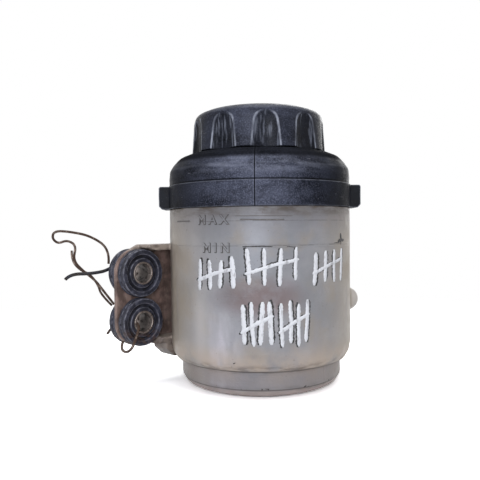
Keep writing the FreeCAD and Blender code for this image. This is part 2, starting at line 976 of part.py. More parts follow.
def make_wire(points, diameter, name):
    """Round wire along straight runs joined by tangent arcs."""
    route = [V(*point) for point in points]
    edges = []
    here = route[0]
    for index in range(1, len(route) - 1):
        start, middle, end = bend(route[index - 1], route[index], route[index + 1], name)
        edges.append(Part.LineSegment(here, start).toShape())
        edges.append(Part.Arc(start, middle, end).toShape())
        here = end
    edges.append(Part.LineSegment(here, route[-1]).toShape())
    path = Part.Wire(edges)
    section = Part.Wire(Part.makeCircle(diameter / 2, route[0], route[1] - route[0]))
    tube = path.makePipeShell([section], True, False)
    ideal = math.pi * diameter ** 2 / 4 * path.Length
    print(name, "length %.1f volume/ideal %.4f" % (path.Length, tube.Volume / ideal))
    return tube


def main():
    """Build and write every node."""
    export(make_vessel(), "vessel")
    export(make_bracket(), "bracket")
    export(make_base_cup(), "base_cup")
    export(make_collar(), "collar")
    export(make_collar_seal(), "collar_seal")
    export(make_filler_cap(), "filler_cap")
    export(make_cap_seal(), "cap_seal")
    export(make_cap_liner(), "cap_liner")
    export(make_vent_valve(), "vent_valve")
    export(make_strainer_frame(), "strainer_frame")
    export(make_strainer_mesh(), "strainer_mesh")
    export(make_baffle_post(), "baffle_post")
    export(make_baffle(), "baffle")
    export(make_baffle_clip(), "baffle_clip")
    for name, height in (("lower", bush_low_z), ("upper", bush_top_z)):
        export(on_bush_axis(bush_about_z(), height), "bush_" + name)
        export(on_bush_axis(sleeve_about_z(), height), "sleeve_" + name)
    export(make_wire(wire_front_points, wire_front_d, "tie_wire_front"), "tie_wire_front")
    export(make_wire(wire_loop_points, wire_loop_d, "tie_wire_loop"), "tie_wire_loop")
    export(make_wire(wire_stick_points, wire_stick_d, "tie_wire_stick"), "tie_wire_stick")


main()
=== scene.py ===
"""Power steering reservoir: looks around the CAD frame. Shapes are given in millimetres."""

import math
import random

import bmesh
import bpy
from mathutils import Matrix, Vector, noise


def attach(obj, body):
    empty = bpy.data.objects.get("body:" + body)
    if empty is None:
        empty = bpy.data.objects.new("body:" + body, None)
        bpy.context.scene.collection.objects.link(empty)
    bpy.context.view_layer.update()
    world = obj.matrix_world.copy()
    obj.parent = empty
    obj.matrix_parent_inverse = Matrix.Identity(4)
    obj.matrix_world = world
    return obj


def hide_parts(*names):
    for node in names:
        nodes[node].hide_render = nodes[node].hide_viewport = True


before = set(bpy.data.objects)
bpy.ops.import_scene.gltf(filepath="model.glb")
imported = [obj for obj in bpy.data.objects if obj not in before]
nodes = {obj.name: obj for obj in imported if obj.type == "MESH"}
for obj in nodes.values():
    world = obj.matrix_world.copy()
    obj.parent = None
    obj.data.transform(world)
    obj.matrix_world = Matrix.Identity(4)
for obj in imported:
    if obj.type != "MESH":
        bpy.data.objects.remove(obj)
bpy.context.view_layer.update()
MM = 0.001
FRONT = -math.pi / 2
ROOT_HALF = math.sqrt(0.5)

# Radii, heights and angles of the object that its forms and its looks share
VESSEL_R = 42.0
WALL_DEGREE = math.tau * VESSEL_R / 360
STEP_Z = 12.2
FOOT_LINE_Z = 4.1
RING_LOW_Z, RING_HIGH_Z = 63.9, 74.0
BASE_SEAM = math.radians(-44.7)
COLLAR_SEAM = math.radians(-94.4)
LEDGE_Z = 90.95
SHOULDER_Z = 97.0
NECK_R = 27.6
NECK_THREAD_Z = (105.5, 116.6)
THREAD_PITCH = 3.6
CAP_BORE_R = 28.3
CAP_THREAD_Z = (106, 119)
CAP_FOOT_R = 31.2
CAP_FOOT_Z = 105.5
CAP_DRAFT = 0.073
FLUTES = 10
FLUTE_STEP = math.tau / FLUTES
FLUTE_PHASE = math.radians(-86)
SCOOP_R = 13.0
SCOOP_AT = 42.0
SCOOP_TOP_Z = 116.0
BUSH_ALONG = 47.9
BUSH_BEHIND = 32.7
BUSH_Z = {"upper": 51.4, "lower": 29.4}


def placed(name, data):
    """New object in the scene."""
    obj = bpy.data.objects.new(name, data)
    bpy.context.scene.collection.objects.link(obj)
    return obj


# Camera: the photo's view

def make_camera():
    """Camera at the fitted place, with the photo's small tilt and roll."""
    data = bpy.data.cameras.new("photo_camera")
    data.sensor_width = 36.0
    data.lens = 42.0
    data.clip_start = 0.01
    camera = placed("photo_camera", data)
    pitch = math.radians(-1.2)
    roll = math.radians(-0.67)
    forward = Vector((0, math.cos(pitch), math.sin(pitch)))
    right = Vector((1, 0, 0))
    up = right.cross(forward)
    rolled_right = right * math.cos(roll) + up * math.sin(roll)
    rolled_up = up * math.cos(roll) - right * math.sin(roll)
    place = Matrix((rolled_right, rolled_up, -forward)).transposed().to_4x4()
    place.translation = Vector((-9.3, -265.5, 71.0)) * MM
    camera.matrix_world = place
    bpy.context.scene.camera = camera


# Shaders

def rgb(red, green, blue):
    """Linear colour from screen values of 0 to 255."""
    return tuple(((v / 255 + 0.055) / 1.055) ** 2.4 for v in (red, green, blue)) + (1.0,)


def dimmed(tone, share):
    """A linear colour, darker."""
    return tuple(c * share for c in tone[:3]) + (1.0,)


class Shader:
    """A Principled material with short ways to add nodes, in millimetre coordinates."""

    def __init__(self, name):
        self.material = bpy.data.materials.new(name)
        self.material.use_nodes = True
        self.tree = self.material.node_tree
        self.tree.nodes.clear()
        self.output = self.tree.nodes.new("ShaderNodeOutputMaterial")
        self.surface = self.tree.nodes.new("ShaderNodeBsdfPrincipled")
        self.tree.links.new(self.surface.outputs[0], self.output.inputs[0])
        place = self.tree.nodes.new("ShaderNodeTexCoord").outputs["Object"]
        self.mm = self.node("ShaderNodeVectorMath", {0: place, "Scale": 1000.0}, operation="SCALE")
        split = self.tree.nodes.new("ShaderNodeSeparateXYZ")
        self.tree.links.new(self.mm, split.inputs[0])
        self.x, self.y, self.z = split.outputs
        self.colour = None

    def node(self, kind, inputs, output=0, **settings):
        """Add a node, set or link its inputs, and return one output."""
        made = self.tree.nodes.new(kind)
        for key, value in settings.items():
            setattr(made, key, value)
        for key, value in inputs.items():
            if isinstance(value, bpy.types.NodeSocket):
                self.tree.links.new(value, made.inputs[key])
            else:
                made.inputs[key].default_value = value
        return made.outputs[output]

    def math(self, operation, first, second=0.0):
        """A value from one or two values."""
        return self.node("ShaderNodeMath", {0: first, 1: second}, operation=operation)

    def plus(self, first, second):
        """Sum."""
        return self.math("ADD", first, second)

    def minus(self, first, second):
        """Difference."""
        return self.math("SUBTRACT", first, second)

    def noise(self, size, detail, stretch=(1, 1, 1), shift=0.0):
        """Noise with features of about size millimetres, longer where stretch is over 1."""
        scale = tuple(1.0 / s for s in stretch)
        spot = self.node("ShaderNodeVectorMath", {0: self.mm, 1: scale}, operation="MULTIPLY")
        spot = self.node("ShaderNodeVectorMath", {0: spot, 1: (shift, shift, shift)}, operation="ADD")
        values = {"Vector": spot, "Scale": 1.0 / size, "Detail": detail, "Roughness": 0.55}
        return self.node("ShaderNodeTexNoise", values)

    def fade(self, value, start, end, low=0.0, high=1.0):
        """Smooth step of value from low at start to high at end."""
        values = {"Value": value, "From Min": start, "From Max": end, "To Min": low, "To Max": high}
        return self.node("ShaderNodeMapRange", values, interpolation_type="SMOOTHSTEP")

    def band(self, value, centre, half):
        """One at centre, falling to nothing at half to either side."""
        away = self.math("ABSOLUTE", self.minus(value, centre))
        return self.fade(away, 0.0, half, 1.0, 0.0)

    def both(self, first, second):
        """Product: where both masks are high."""
        return self.math("MULTIPLY", first, second)

    def either(self, first, second):
        """Larger: where one mask or the other is high."""
        return self.math("MAXIMUM", first, second)

    def mix(self, amount, under, over):
        """Colour from under at 0 to over at 1."""
        values = {0: amount, 6: under, 7: over}
        return self.node("ShaderNodeMix", values, 2, data_type="RGBA")

    def coat(self, amount, tone, share=None):
        """Lay a tone of screen values over the colour so far, as amount and share say."""
        if share is not None:
            amount = self.both(amount, share)
        self.colour = self.mix(amount, self.colour, rgb(*tone))

    def length(self, *sides):
        """Root of the sum of the squares."""
        square = self.both(sides[0], sides[0])
        for side in sides[1:]:
            square = self.plus(square, self.both(side, side))
        return self.math("SQRT", square)

    def edge_mask(self):
        """Above one half on sharp edges that stand out, below it in hollows."""
        return self.node("ShaderNodeNewGeometry", {}, "Pointiness")

    def bump(self, height, depth, before=None):
        """Bump of depth millimetres for a height of 0 to 1."""
        values = {"Height": height, "Distance": depth * MM, "Strength": 1.0}
        if before is not None:
            values["Normal"] = before
        return self.node("ShaderNodeBump", values)

    def set(self, **values):
        """Set or link sockets of the surface by name, with _ for spaces."""
        for key, value in values.items():
            socket = self.surface.inputs[key.replace("_", " ")]
            if isinstance(value, bpy.types.NodeSocket):
                self.tree.links.new(value, socket)
            else:
                socket.default_value = value
        return self.material


def milky_plastic(name, bracket=False):
    """Aged translucent moulding: cloudy grey with stains, streaks, grime lines darkened as painted shade,
    painted shade with grime under the collar, and scratches.
    """
    s = Shader(name)
    clouds = s.noise(22, 5)
    s.colour = s.mix(s.fade(clouds, 0.35, 0.68), rgb(137, 138, 143), rgb(158, 157, 162))
    sides = s.fade(s.y, -41, -14, 0.0, 0.9)
    s.coat(sides, (168, 157, 144))
    stains = s.both(s.fade(s.noise(17, 6, shift=7), 0.48, 0.66), 0.4)
    s.coat(stains, (158, 145, 128))
    streaks = s.fade(s.noise(5, 4, (1, 1, 9), shift=3), 0.52, 0.75, 0.0, 0.4)
    s.coat(streaks, (146, 144, 150))
    if bracket:
        bracket_stains_and_shade(s)
    else:
        stains_and_painted_light(s)
    specks = s.fade(s.noise(1.1, 3, shift=5), 0.67, 0.77, 0.0, 0.55)
    s.coat(specks, (96, 82, 70))
    ragged = s.fade(s.noise(3.2, 5, (2.2, 2.2, 0.6), shift=2), 0.4, 0.66)
    # Painted shade with ragged grime: the wall darkens from z 73.5 up to the collar.
    under_collar_shade_and_grime = s.both(s.fade(s.z, 73.5, 79.6), s.plus(s.both(ragged, 0.6), 0.4))
    s.coat(under_collar_shade_and_grime, (76, 66, 58), 0.85)
    # Grime with painted shade: dark lines and ragged dirt along the step and the foot line.
    grime_and_painted_shade = s.both(s.band(s.z, STEP_Z + 0.8, 3.4), s.both(ragged, 0.6))
    s.coat(s.either(s.band(s.z, STEP_Z, 0.85), grime_and_painted_shade), (48, 40, 36), 0.85)
    grime_and_painted_shade = s.both(s.band(s.z, FOOT_LINE_Z, 2.2), s.both(ragged, 0.45))
    s.coat(s.either(s.band(s.z, FOOT_LINE_Z, 0.5), grime_and_painted_shade), (60, 50, 46), 0.7)
    spots = s.both(s.band(s.z, FOOT_LINE_Z + 0.5, 0.7), s.fade(s.noise(2.4, 1, shift=41), 0.62, 0.68))
    s.coat(spots, (40, 32, 28))
    low = s.fade(s.z, 4.5, 1.0, 0.0, 0.35)
    s.coat(s.both(low, ragged), (120, 98, 92))
    scratches = s.fade(s.noise(2.2, 2, (9, 9, 0.35), shift=23), 0.66, 0.72)
    relief = s.bump(s.noise(0.7, 3), 0.05)
    relief = s.bump(s.noise(7, 3, shift=31), 0.5, relief)
    relief = s.bump(scratches, 0.05, relief)
    gloss = s.fade(s.noise(8, 5, shift=13), 0.3, 0.7, 0.28, 0.48)
    return s.set(
        Base_Color=s.colour, Roughness=gloss, Normal=relief, Specular_IOR_Level=0.25,
        Subsurface_Weight=0.0 if bracket else 0.25, Subsurface_Radius=(1.0, 0.9, 0.85),
        Subsurface_Scale=3 * MM,
    )


def stains_and_painted_light(s):
    """Painted highlight strips of light, painted shade towards the collar and at the left edge, and what
    shows through the wall: a brown patch and a warm lower wall.
    """
    front = s.fade(s.y, 4, -14)
    clouded = s.both(front, s.fade(s.noise(7, 5, (1, 1, 3), shift=43), 0.34, 0.58))
    strength = s.plus(s.both(clouded, 0.4), s.both(front, 0.3))
    # Painted highlights: pale vertical strips of light on the front of the wall.
    low_highlight_strip = s.both(s.both(s.fade(s.x, -24.5, -21.5), s.fade(s.x, -4, -18)), s.fade(s.z, 46, 24))
    s.coat(s.both(low_highlight_strip, strength), (204, 200, 209))
    high_highlight_strip = s.both(s.both(s.band(s.x, -3, 8), front), s.fade(s.z, 46, 58))
    s.coat(high_highlight_strip, (186, 189, 202), 0.25)
    left_highlight_strip = s.both(s.both(s.band(s.x, -26, 5), front), s.fade(s.z, 54, 34))
    s.coat(left_highlight_strip, (196, 190, 188), 0.5)
    across = s.math("DIVIDE", s.plus(s.x, 1.0), 19.0)
    up = s.math("DIVIDE", s.minus(s.z, 43.0), 9.0)
    patch = s.both(s.fade(s.length(across, up), 1.25, 0.3), s.fade(s.noise(12, 4, shift=47), 0.2, 0.5))
    s.coat(s.both(patch, front), (122, 107, 108), 0.95)
    warm = s.both(s.band(s.z, 14.0, 11), s.fade(s.noise(12, 5, shift=53), 0.3, 0.6))
    s.coat(warm, (186, 169, 154), 0.8)
    cup = s.fade(s.z, 13.5, 10.5, 0.0, 0.55)
    s.coat(cup, (128, 122, 125))
    foot = s.fade(s.z, 4.6, 2.6, 0.0, 0.6)
    s.coat(foot, (198, 180, 174))
    shade = s.fade(s.z, 63, 79, 0.0, 0.5)
    s.coat(shade, (104, 102, 108))
    return_end = s.fade(s.x, VESSEL_R + 0.4, VESSEL_R + 2.0, 0.0, 0.6)
    s.coat(return_end, (204, 199, 195))
    # Painted shade: the wall darkens at its left edge beside the bracket.
    left_edge_shade = s.both(s.fade(s.x, -39.0, -41.2), s.fade(s.z, 14, 24))
    s.coat(left_edge_shade, (84, 75, 72), 0.75)
    rings = s.either(s.band(s.z, RING_LOW_Z, 0.3), s.band(s.z, RING_HIGH_Z, 0.25))
    rings = s.both(rings, s.fade(s.noise(6, 3, shift=59), 0.42, 0.55))
    s.coat(rings, (74, 70, 72), 0.55)


def bracket_axes(s):
    """Distances along the bracket's web and behind the vessel's axis, square to each other."""
    return s.both(s.plus(s.x, s.y), ROOT_HALF), s.both(s.minus(s.y, s.x), ROOT_HALF)


def bracket_stains_and_shade(s):
    """Brown mottled web, darkened with soot and painted shade in its recess and with painted shade beside
    the wall, with clearer flanges and foot.
    """
    along, behind = bracket_axes(s)
    web = s.both(s.fade(behind, 30.2, 31.4), s.both(s.fade(s.z, 20.6, 22.0), s.fade(s.z, 62.0, 61.0)))
    web = s.either(web, s.fade(behind, 32.4, 33.2))
    mottle = s.fade(s.noise(5, 7, shift=11), 0.34, 0.62, 0.84, 1.0)
    # Brown stain with painted shade: the recessed web is browner and darker than the flanges.
    brown_stain_and_web_shade = s.both(s.plus(s.both(web, 0.72), 0.28), mottle)
    s.coat(brown_stain_and_web_shade, (138, 114, 107))
    rubbed_and_highlight = s.fade(s.noise(0.9, 3, (1, 1, 5), shift=67), 0.5, 0.7, 0.0, 0.4)
    s.coat(s.both(rubbed_and_highlight, web), (160, 142, 132))
    soiled = s.fade(s.noise(3.5, 6, (1.5, 1.5, 0.8), shift=73), 0.46, 0.66, 0.0, 0.6)
    s.coat(soiled, (92, 80, 76))
    # Soot with painted shade in the recessed web.
    soot_and_web_shade = s.fade(s.noise(5, 7, (1, 1, 1.6), shift=19), 0.42, 0.62, 0.0, 0.75)
    s.coat(s.both(soot_and_web_shade, web), (70, 57, 53))
    low_flange = s.fade(s.z, 22.4, 20.4, 0.0, 0.5)
    s.coat(low_flange, (80, 70, 68))
    # Painted shade on the web beside the vessel's wall.
    beside_wall_shade = s.both(s.fade(along, -33.0, -29.0), web)
    s.coat(beside_wall_shade, (64, 54, 50), 0.6)


def black_plastic(name, dust_and_sheen, gloss, shine, fluted=False, seamed=False):
    """Scuffed black moulding: painted bluish sheen with fine grain on the front, pale worn edges, scuffs,
    dust, and painted shade and highlights at the seam, flutes, slope and ledge.
    """
    s = Shader(name)
    s.colour = s.mix(s.fade(s.noise(14, 5), 0.35, 0.65), rgb(11, 12, 16), rgb(17, 20, 28))
    # Painted sheen: a bluish haze and fine grain on the front, over a little dust everywhere.
    front = s.both(s.band(s.x, -3, 40), s.fade(s.y, 0, -20))
    dust_and_front_sheen = s.plus(s.both(front, 1.6 * dust_and_sheen), 0.06 * dust_and_sheen)
    haze_and_sheen = s.both(s.fade(s.noise(11, 3, (1.6, 1.6, 0.6), shift=4), 0.2, 0.72), dust_and_front_sheen)
    s.coat(haze_and_sheen, (84, 88, 105))
    grain = s.both(s.fade(s.noise(0.5, 2, (1.2, 1.2, 1.0), shift=9), 0.4, 0.78, 0.0, 0.42), dust_and_front_sheen)
    s.coat(grain, (140, 144, 168))
    scratches = s.fade(s.noise(1.2, 2, (5, 5, 0.4), shift=15), 0.71, 0.75)
    s.coat(scratches, (140, 141, 150), 0.4)
    chips = s.fade(s.noise(0.7, 2, shift=27), 0.73, 0.79)
    s.coat(chips, (170, 170, 178), 0.6)
    patchy = s.fade(s.noise(5, 3, (1, 1, 2), shift=61), 0.3, 0.62, 0.3, 0.75)
    worn = s.both(s.fade(s.edge_mask(), 0.507, 0.545), patchy)
    if fluted:
        worn = s.both(worn, s.fade(s.z, 121.0, 122.4))
    s.coat(worn, (150, 153, 164))
    if seamed:
        # Painted highlight: a streaky pale band on the front of the shoulder.
        rubbed_and_highlight = s.fade(s.noise(3, 4, (5, 5, 0.8), shift=37), 0.38, 0.66)
        s.coat(s.both(s.both(s.band(s.z, SHOULDER_Z, 4.5), rubbed_and_highlight), front), (146, 150, 168), 0.55)
        across = s.both(s.x, -math.sin(COLLAR_SEAM))
        away = s.math("ABSOLUTE", s.plus(across, s.both(s.y, math.cos(COLLAR_SEAM))))
        near = s.fade(s.y, 0, -10)
        # Painted highlight on the lips of the seam groove.
        seam_lip_highlight = s.both(s.both(s.fade(away, 0.8, 0.5), s.fade(away, 0.3, 0.45)), near)
        s.coat(seam_lip_highlight, (120, 124, 142), 0.35)
        # Painted shade: a dark line in the seam groove.
        seam = s.both(s.fade(away, 0.34, 0.16), near)
        s.coat(seam, (8, 9, 12), 0.85)
    if fluted:
        scoop, rim_highlight = flute_masks(s)
        # Painted shade in the flute hollows.
        s.coat(scoop, (10, 11, 14), 0.62)
        # Painted reflection: pale streaks running down the flutes.
        reflection_runs = s.both(scoop, s.fade(s.noise(1.3, 3, (1, 1, 7), shift=44), 0.5, 0.72, 0.0, 0.42))
        s.coat(reflection_runs, (142, 147, 163))
        # Painted highlights along the flute rims.
        rim_highlight = s.both(rim_highlight, s.fade(s.noise(3, 3, (1, 1, 3), shift=71), 0.34, 0.62, 0.2, 0.9))
        s.coat(rim_highlight, (158, 162, 176))
    dark_marks = s.both(s.fade(s.noise(5, 5, shift=33), 0.5, 0.7), 0.35)
    s.coat(dark_marks, (20, 18, 18))
    # Painted shade: the dome's slope up to the cap is darkened to near black.
    slope_shade = s.both(s.fade(s.z, 99.5, 101.5), s.fade(s.z, 106.0, 105.0))
    s.coat(slope_shade, (11, 12, 15), 0.85)
    # Painted shade: a dark line in the corner above the band's ledge.
    ledge_shade = s.band(s.z, LEDGE_Z, 0.55)
    s.coat(ledge_shade, (8, 9, 11), 0.9)
    relief = s.bump(s.noise(0.55, 3), 0.11)
    relief = s.bump(s.noise(3.5, 4, (1.5, 1.5, 0.8), shift=6), 0.16, relief)
    relief = s.bump(scratches, 0.04, relief)
    rough = s.fade(s.noise(6, 5, shift=21), 0.3, 0.7, *gloss)
    rough = s.plus(rough, s.both(slope_shade, 0.4))
    return s.set(Base_Color=s.colour, Roughness=rough, Normal=relief, Specular_IOR_Level=shine)


def flute_masks(s):
    """Masks of the cap's scooped flutes and of their rims."""
    turn = s.minus(s.math("ARCTAN2", s.y, s.x), FLUTE_PHASE - FLUTE_STEP / 2)
    away = s.minus(s.math("FLOORED_MODULO", turn, FLUTE_STEP), FLUTE_STEP / 2)
    r = s.length(s.x, s.y)
    across = s.both(r, s.math("SINE", away))
    along = s.minus(SCOOP_AT, s.both(r, s.math("COSINE", away)))
    over = s.either(s.minus(s.z, SCOOP_TOP_Z), 0.0)
    reach = s.length(across, along, over)
    wall = s.minus(CAP_FOOT_R, s.both(s.minus(s.z, CAP_FOOT_Z), CAP_DRAFT))
    above_foot = s.fade(s.z, CAP_FOOT_Z - 0.3, CAP_FOOT_Z + 0.3)
    inside = s.both(s.fade(reach, SCOOP_R + 0.5, SCOOP_R + 0.15), above_foot)
    depth = s.minus(wall, r)
    return s.both(inside, s.fade(depth, 0.15, 0.5)), s.both(inside, s.fade(depth, 0.32, 0.12))


def from_bush_axis(s, z):
    """Distance in millimetres from the axis of the bush at height z."""
    along, _ = bracket_axes(s)
    return s.length(s.plus(along, BUSH_ALONG), s.minus(s.z, z))


def rubber(name, rust=0.0, ring_z=None):
    """Moulded rubber, bloomed, with pale worn edges and ribs, painted shade in hollows and in the face
    groove, and rusty grime low down.
    """
    s = Shader(name)
    s.colour = s.mix(s.fade(s.noise(4, 5), 0.35, 0.65), rgb(34, 34, 42), rgb(54, 55, 67))
    bloom = s.fade(s.noise(2.2, 6, shift=8), 0.5, 0.72, 0.0, 0.5)
    s.coat(bloom, (96, 97, 112))
    sharp = s.edge_mask()
    worn = s.both(s.fade(sharp, 0.51, 0.57), s.fade(s.noise(1.6, 5, shift=29), 0.36, 0.62, 0.1, 0.9))
    s.coat(worn, (148, 148, 160))
    # Painted shade in the hollows.
    hollow_shade = s.fade(sharp, 0.49, 0.44, 0.0, 0.8)
    s.coat(hollow_shade, (18, 18, 23))
    if ring_z is not None:
        r = from_bush_axis(s, ring_z)
        ribs = s.either(s.band(r, 6.55, 0.3), s.either(s.band(r, 8.45, 0.3), s.band(r, 10.3, 0.4)))
        ribs = s.both(ribs, s.fade(s.noise(1.8, 4, shift=83), 0.38, 0.62, 0.08, 0.8))
        s.coat(ribs, (128, 128, 140))
        # Painted shade in the recessed groove of the bush face.
        groove_shade = s.band(r, 7.45, 0.75)
        s.coat(groove_shade, (18, 18, 23), 0.75)
    if rust:
        fall = s.both(s.fade(s.z, 31, 21, 0.0, 1.0), s.fade(s.noise(2.6, 6, shift=12), 0.44, 0.66))
        s.coat(s.both(fall, rust), (92, 70, 58))
    relief = s.bump(s.noise(0.45, 4), 0.08)
    relief = s.bump(s.noise(2.5, 4, shift=14), 0.14, relief)
    rough = s.fade(bloom, 0, 0.5, 0.45, 0.65)
    return s.set(Base_Color=s.colour, Roughness=rough, Normal=relief, Specular_IOR_Level=0.2)


def metal(name, bright, rusty, rust_share, rough=0.38, bore_z=()):
    """Worn metal: bright patches with rust in the rest, with painted shade in the bores at the given
    heights.
    """
    s = Shader(name)
    rust = s.fade(s.noise(2.2, 6, shift=3), 0.62 - rust_share * 0.35, 0.7 - rust_share * 0.25)
    clean = s.mix(s.noise(0.8, 4, shift=5), bright, dimmed(bright, 0.55))
    s.colour = s.mix(rust, clean, s.mix(s.noise(0.6, 4), rusty, dimmed(rusty, 0.45)))
    for z in bore_z:
        _, behind = bracket_axes(s)
        # Painted shade deep inside each bore.
        inner = s.both(s.fade(from_bush_axis(s, z), 4.75, 4.5), s.fade(behind, 26.6, 30.5, 0.0, 0.85))
        inner = s.both(inner, s.fade(behind, 39.0, 34.0))
        s.coat(inner, (34, 29, 28))
    relief = s.bump(s.noise(0.5, 5, shift=17), 0.09)
    return s.set(
        Base_Color=s.colour, Metallic=s.fade(rust, 0.2, 0.8, 0.9, 0.1),
        Roughness=s.fade(rust, 0.0, 1.0, rough, 0.85), Normal=relief,
    )


def clean_plastic(name, tone):
    """Inner moulding, lightly stained by fluid."""
    s = Shader(name)
    stained = s.mix(s.fade(s.noise(9, 5), 0.4, 0.66), tone, rgb(150, 122, 88))
    rough = s.fade(s.noise(5, 4, shift=2), 0.3, 0.7, 0.35, 0.55)
    return s.set(Base_Color=stained, Roughness=rough, Normal=s.bump(s.noise(0.8, 3), 0.05))


def paint(name, tone, worn):
    """Brushed paint with thin places, dirt and brush grooves."""
    s = Shader(name)
    thin = s.fade(s.noise(1.5, 5, (1, 1, 2.4)), 0.5, 0.72, 0.0, 0.75)
    relief = s.bump(s.noise(0.35, 4, (1, 1, 5), shift=6), 0.12)
    return s.set(Base_Color=s.mix(thin, tone, worn), Roughness=0.5, Normal=relief)


# Meshes

def add_object(name, mesh, body, look):
    """Show a mesh, smooth, with one material, riding on a body."""
    mesh.shade_smooth()
    mesh.materials.clear()
    mesh.materials.append(look)
    obj = placed(name, mesh)
    if body:
        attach(obj, body)
    return obj


def mesh_from(name, verts, faces):
    """Mesh from millimetre points."""
    mesh = bpy.data.meshes.new(name)
    mesh.from_pydata([tuple(c * MM for c in v) for v in verts], [], faces)
    mesh.validate()
    return mesh


def rounded(corners, step=0.8, closed=True):
    """Radius and height outline with each corner (r, z, fillet) rounded and long runs divided."""
    points = []
    count = len(corners)
    for index, (r, z, fillet) in enumerate(corners):
        here = Vector((r, z))
        if not fillet or (not closed and index in (0, count - 1)):
            points.append(here)
            continue
        back = (Vector(corners[index - 1][:2]) - here).normalized()
        ahead = (Vector(corners[(index + 1) % count][:2]) - here).normalized()
        half = back.angle(ahead) / 2
        start = here + back * (fillet / math.tan(half))
        centre = here + (back + ahead).normalized() * (fillet / math.sin(half))
        spoke = start - centre
        sweep = math.pi - 2 * half
        sign = 1 if back.x * ahead.y - back.y * ahead.x < 0 else -1
        pieces = max(2, round(math.degrees(sweep) / 15))
        for part in range(pieces + 1):
            angle = sign * sweep * part / pieces
            turned = Vector((
                spoke.x * math.cos(angle) - spoke.y * math.sin(angle),
                spoke.x * math.sin(angle) + spoke.y * math.cos(angle),
            ))
            points.append(centre + turned)
    outline = []
    pairs = list(zip(points, points[1:]))
    if closed:
        pairs.append((points[-1], points[0]))
    for here, there in pairs:
        pieces = max(1, int((there - here).length / step))
        outline += [here.lerp(there, part / pieces) for part in range(pieces)]
    if not closed:
        outline.append(points[-1])
    return [(max(0.0, p.x), p.y) for p in outline]


def angles_round(count, fine=()):
    """Even angles round Z, with extra ones about each fine angle given as (angle, half width)."""
    angles = {round(math.tau * i / count, 6) for i in range(count)}
    for centre, half in fine:
        angles |= {round((centre + half * part / 6) % math.tau, 6) for part in range(-6, 7)}
    return sorted(angles)


def spun(outline, angles, shape=None, closed=True):
    """Surface of revolution about Z. shape(angle, r, z) may move each point."""
    verts = []
    rows = []
    for r, z in outline:
        if r < 1e-6:
            rows.append([len(verts)])
            verts.append((0.0, 0.0, z))
            continue
        rows.append(list(range(len(verts), len(verts) + len(angles))))
        for angle in angles:
            radius, height = shape(angle, r, z) if shape else (r, z)
            verts.append((radius * math.cos(angle), radius * math.sin(angle), height))
    faces = []
    pairs = list(zip(rows, rows[1:])) + ([(rows[-1], rows[0])] if closed else [])
    for low, high in pairs:
        for i in range(len(angles)):
            j = (i + 1) % len(angles)
            if len(low) > 1 and len(high) > 1:
                faces.append((low[i], low[j], high[j], high[i]))
            elif len(low) > 1:
                faces.append((low[i], low[j], high[0]))
            elif len(high) > 1:
                faces.append((low[0], high[j], high[i]))
    return verts, faces


def wave(angle, z, size, depth, shift=0.0):
    """Slow unevenness over a round wall, in millimetres."""
    x, y = math.cos(angle) * VESSEL_R, math.sin(angle) * VESSEL_R
    return noise.noise(Vector((x / size, y / size, z / size + shift))) * depth


def ridge(angle, centre, half):
    """Height from 0 to 1 of a fine line along the wall at one angle."""
    away = abs((angle - centre + math.pi) % math.tau - math.pi)
    return max(0.0, 1 - away / half) ** 1.5 if away < half else 0.0


def add_spun(name, body, look, *surface, **options):
    """Show a surface of revolution."""
    return add_object(name, mesh_from(name, *spun(*surface, **options)), body, look)


def to_mesh(obj):
    """Mesh of an object with its modifiers done, and the object removed."""
    bpy.context.view_layer.update()
    depsgraph = bpy.context.evaluated_depsgraph_get()
    mesh = bpy.data.meshes.new_from_object(obj.evaluated_get(depsgraph))
    bpy.data.objects.remove(obj)
    return mesh


def skinned(mesh, size, rounds):
    """Even skin over a closed mesh, softened."""
    obj = placed("work", mesh)
    remesh = obj.modifiers.new("skin", "REMESH")
    remesh.mode = "VOXEL"
    remesh.voxel_size = size * MM
    soften = obj.modifiers.new("soften", "SMOOTH")
    soften.factor = 0.5
    soften.iterations = rounds
    return to_mesh(obj)


def fused(meshes, size, rounds):
    """One skin over overlapping closed meshes, softened where they meet."""
    joined = bmesh.new()
    for mesh in meshes:
        joined.from_mesh(mesh)
    bmesh.ops.remove_doubles(joined, verts=joined.verts, dist=1e-7)
    target = bpy.data.meshes.new("fused")
    joined.to_mesh(target)
    joined.free()
    return skinned(target, size, rounds)


def wall_patch(from_deg, to_deg, low, high, inner=40.3, outer=41.9):
    """Closed piece of the vessel's wall, for a moulding to grow from."""
    steps = 40
    verts = []
    for part in range(steps + 1):
        angle = math.radians(from_deg + (to_deg - from_deg) * part / steps)
        for r, z in ((inner, low), (outer, low), (outer, high), (inner, high)):
            verts.append((r * math.cos(angle), r * math.sin(angle), z))
    faces = [(0, 1, 2, 3), tuple(4 * steps + k for k in (3, 2, 1, 0))]
    for part in range(steps):
        for k in range(4):
            here = 4 * part
            faces.append((here + k, here + 4 + k, here + 4 + (k + 1) % 4, here + (k + 1) % 4))
    return mesh_from("patch", verts, faces)


def solid_cylinder(r, low, high):
    """Closed cylinder about Z."""
    sides = 256
    outline = [(0.0, low), (r, low), (r, high), (0.0, high)]
    angles = [math.tau * i / sides for i in range(sides)]
    return mesh_from("cylinder", *spun(outline, angles, closed=False))


def welded_copy(node):
    """Copy of a CAD node's mesh with its split edges joined."""
    work = bmesh.new()
    work.from_mesh(nodes[node].data)
    bmesh.ops.remove_doubles(work, verts=work.verts, dist=2e-6)
    mesh = bpy.data.meshes.new("copy")
    work.to_mesh(mesh)
    work.free()
    return mesh


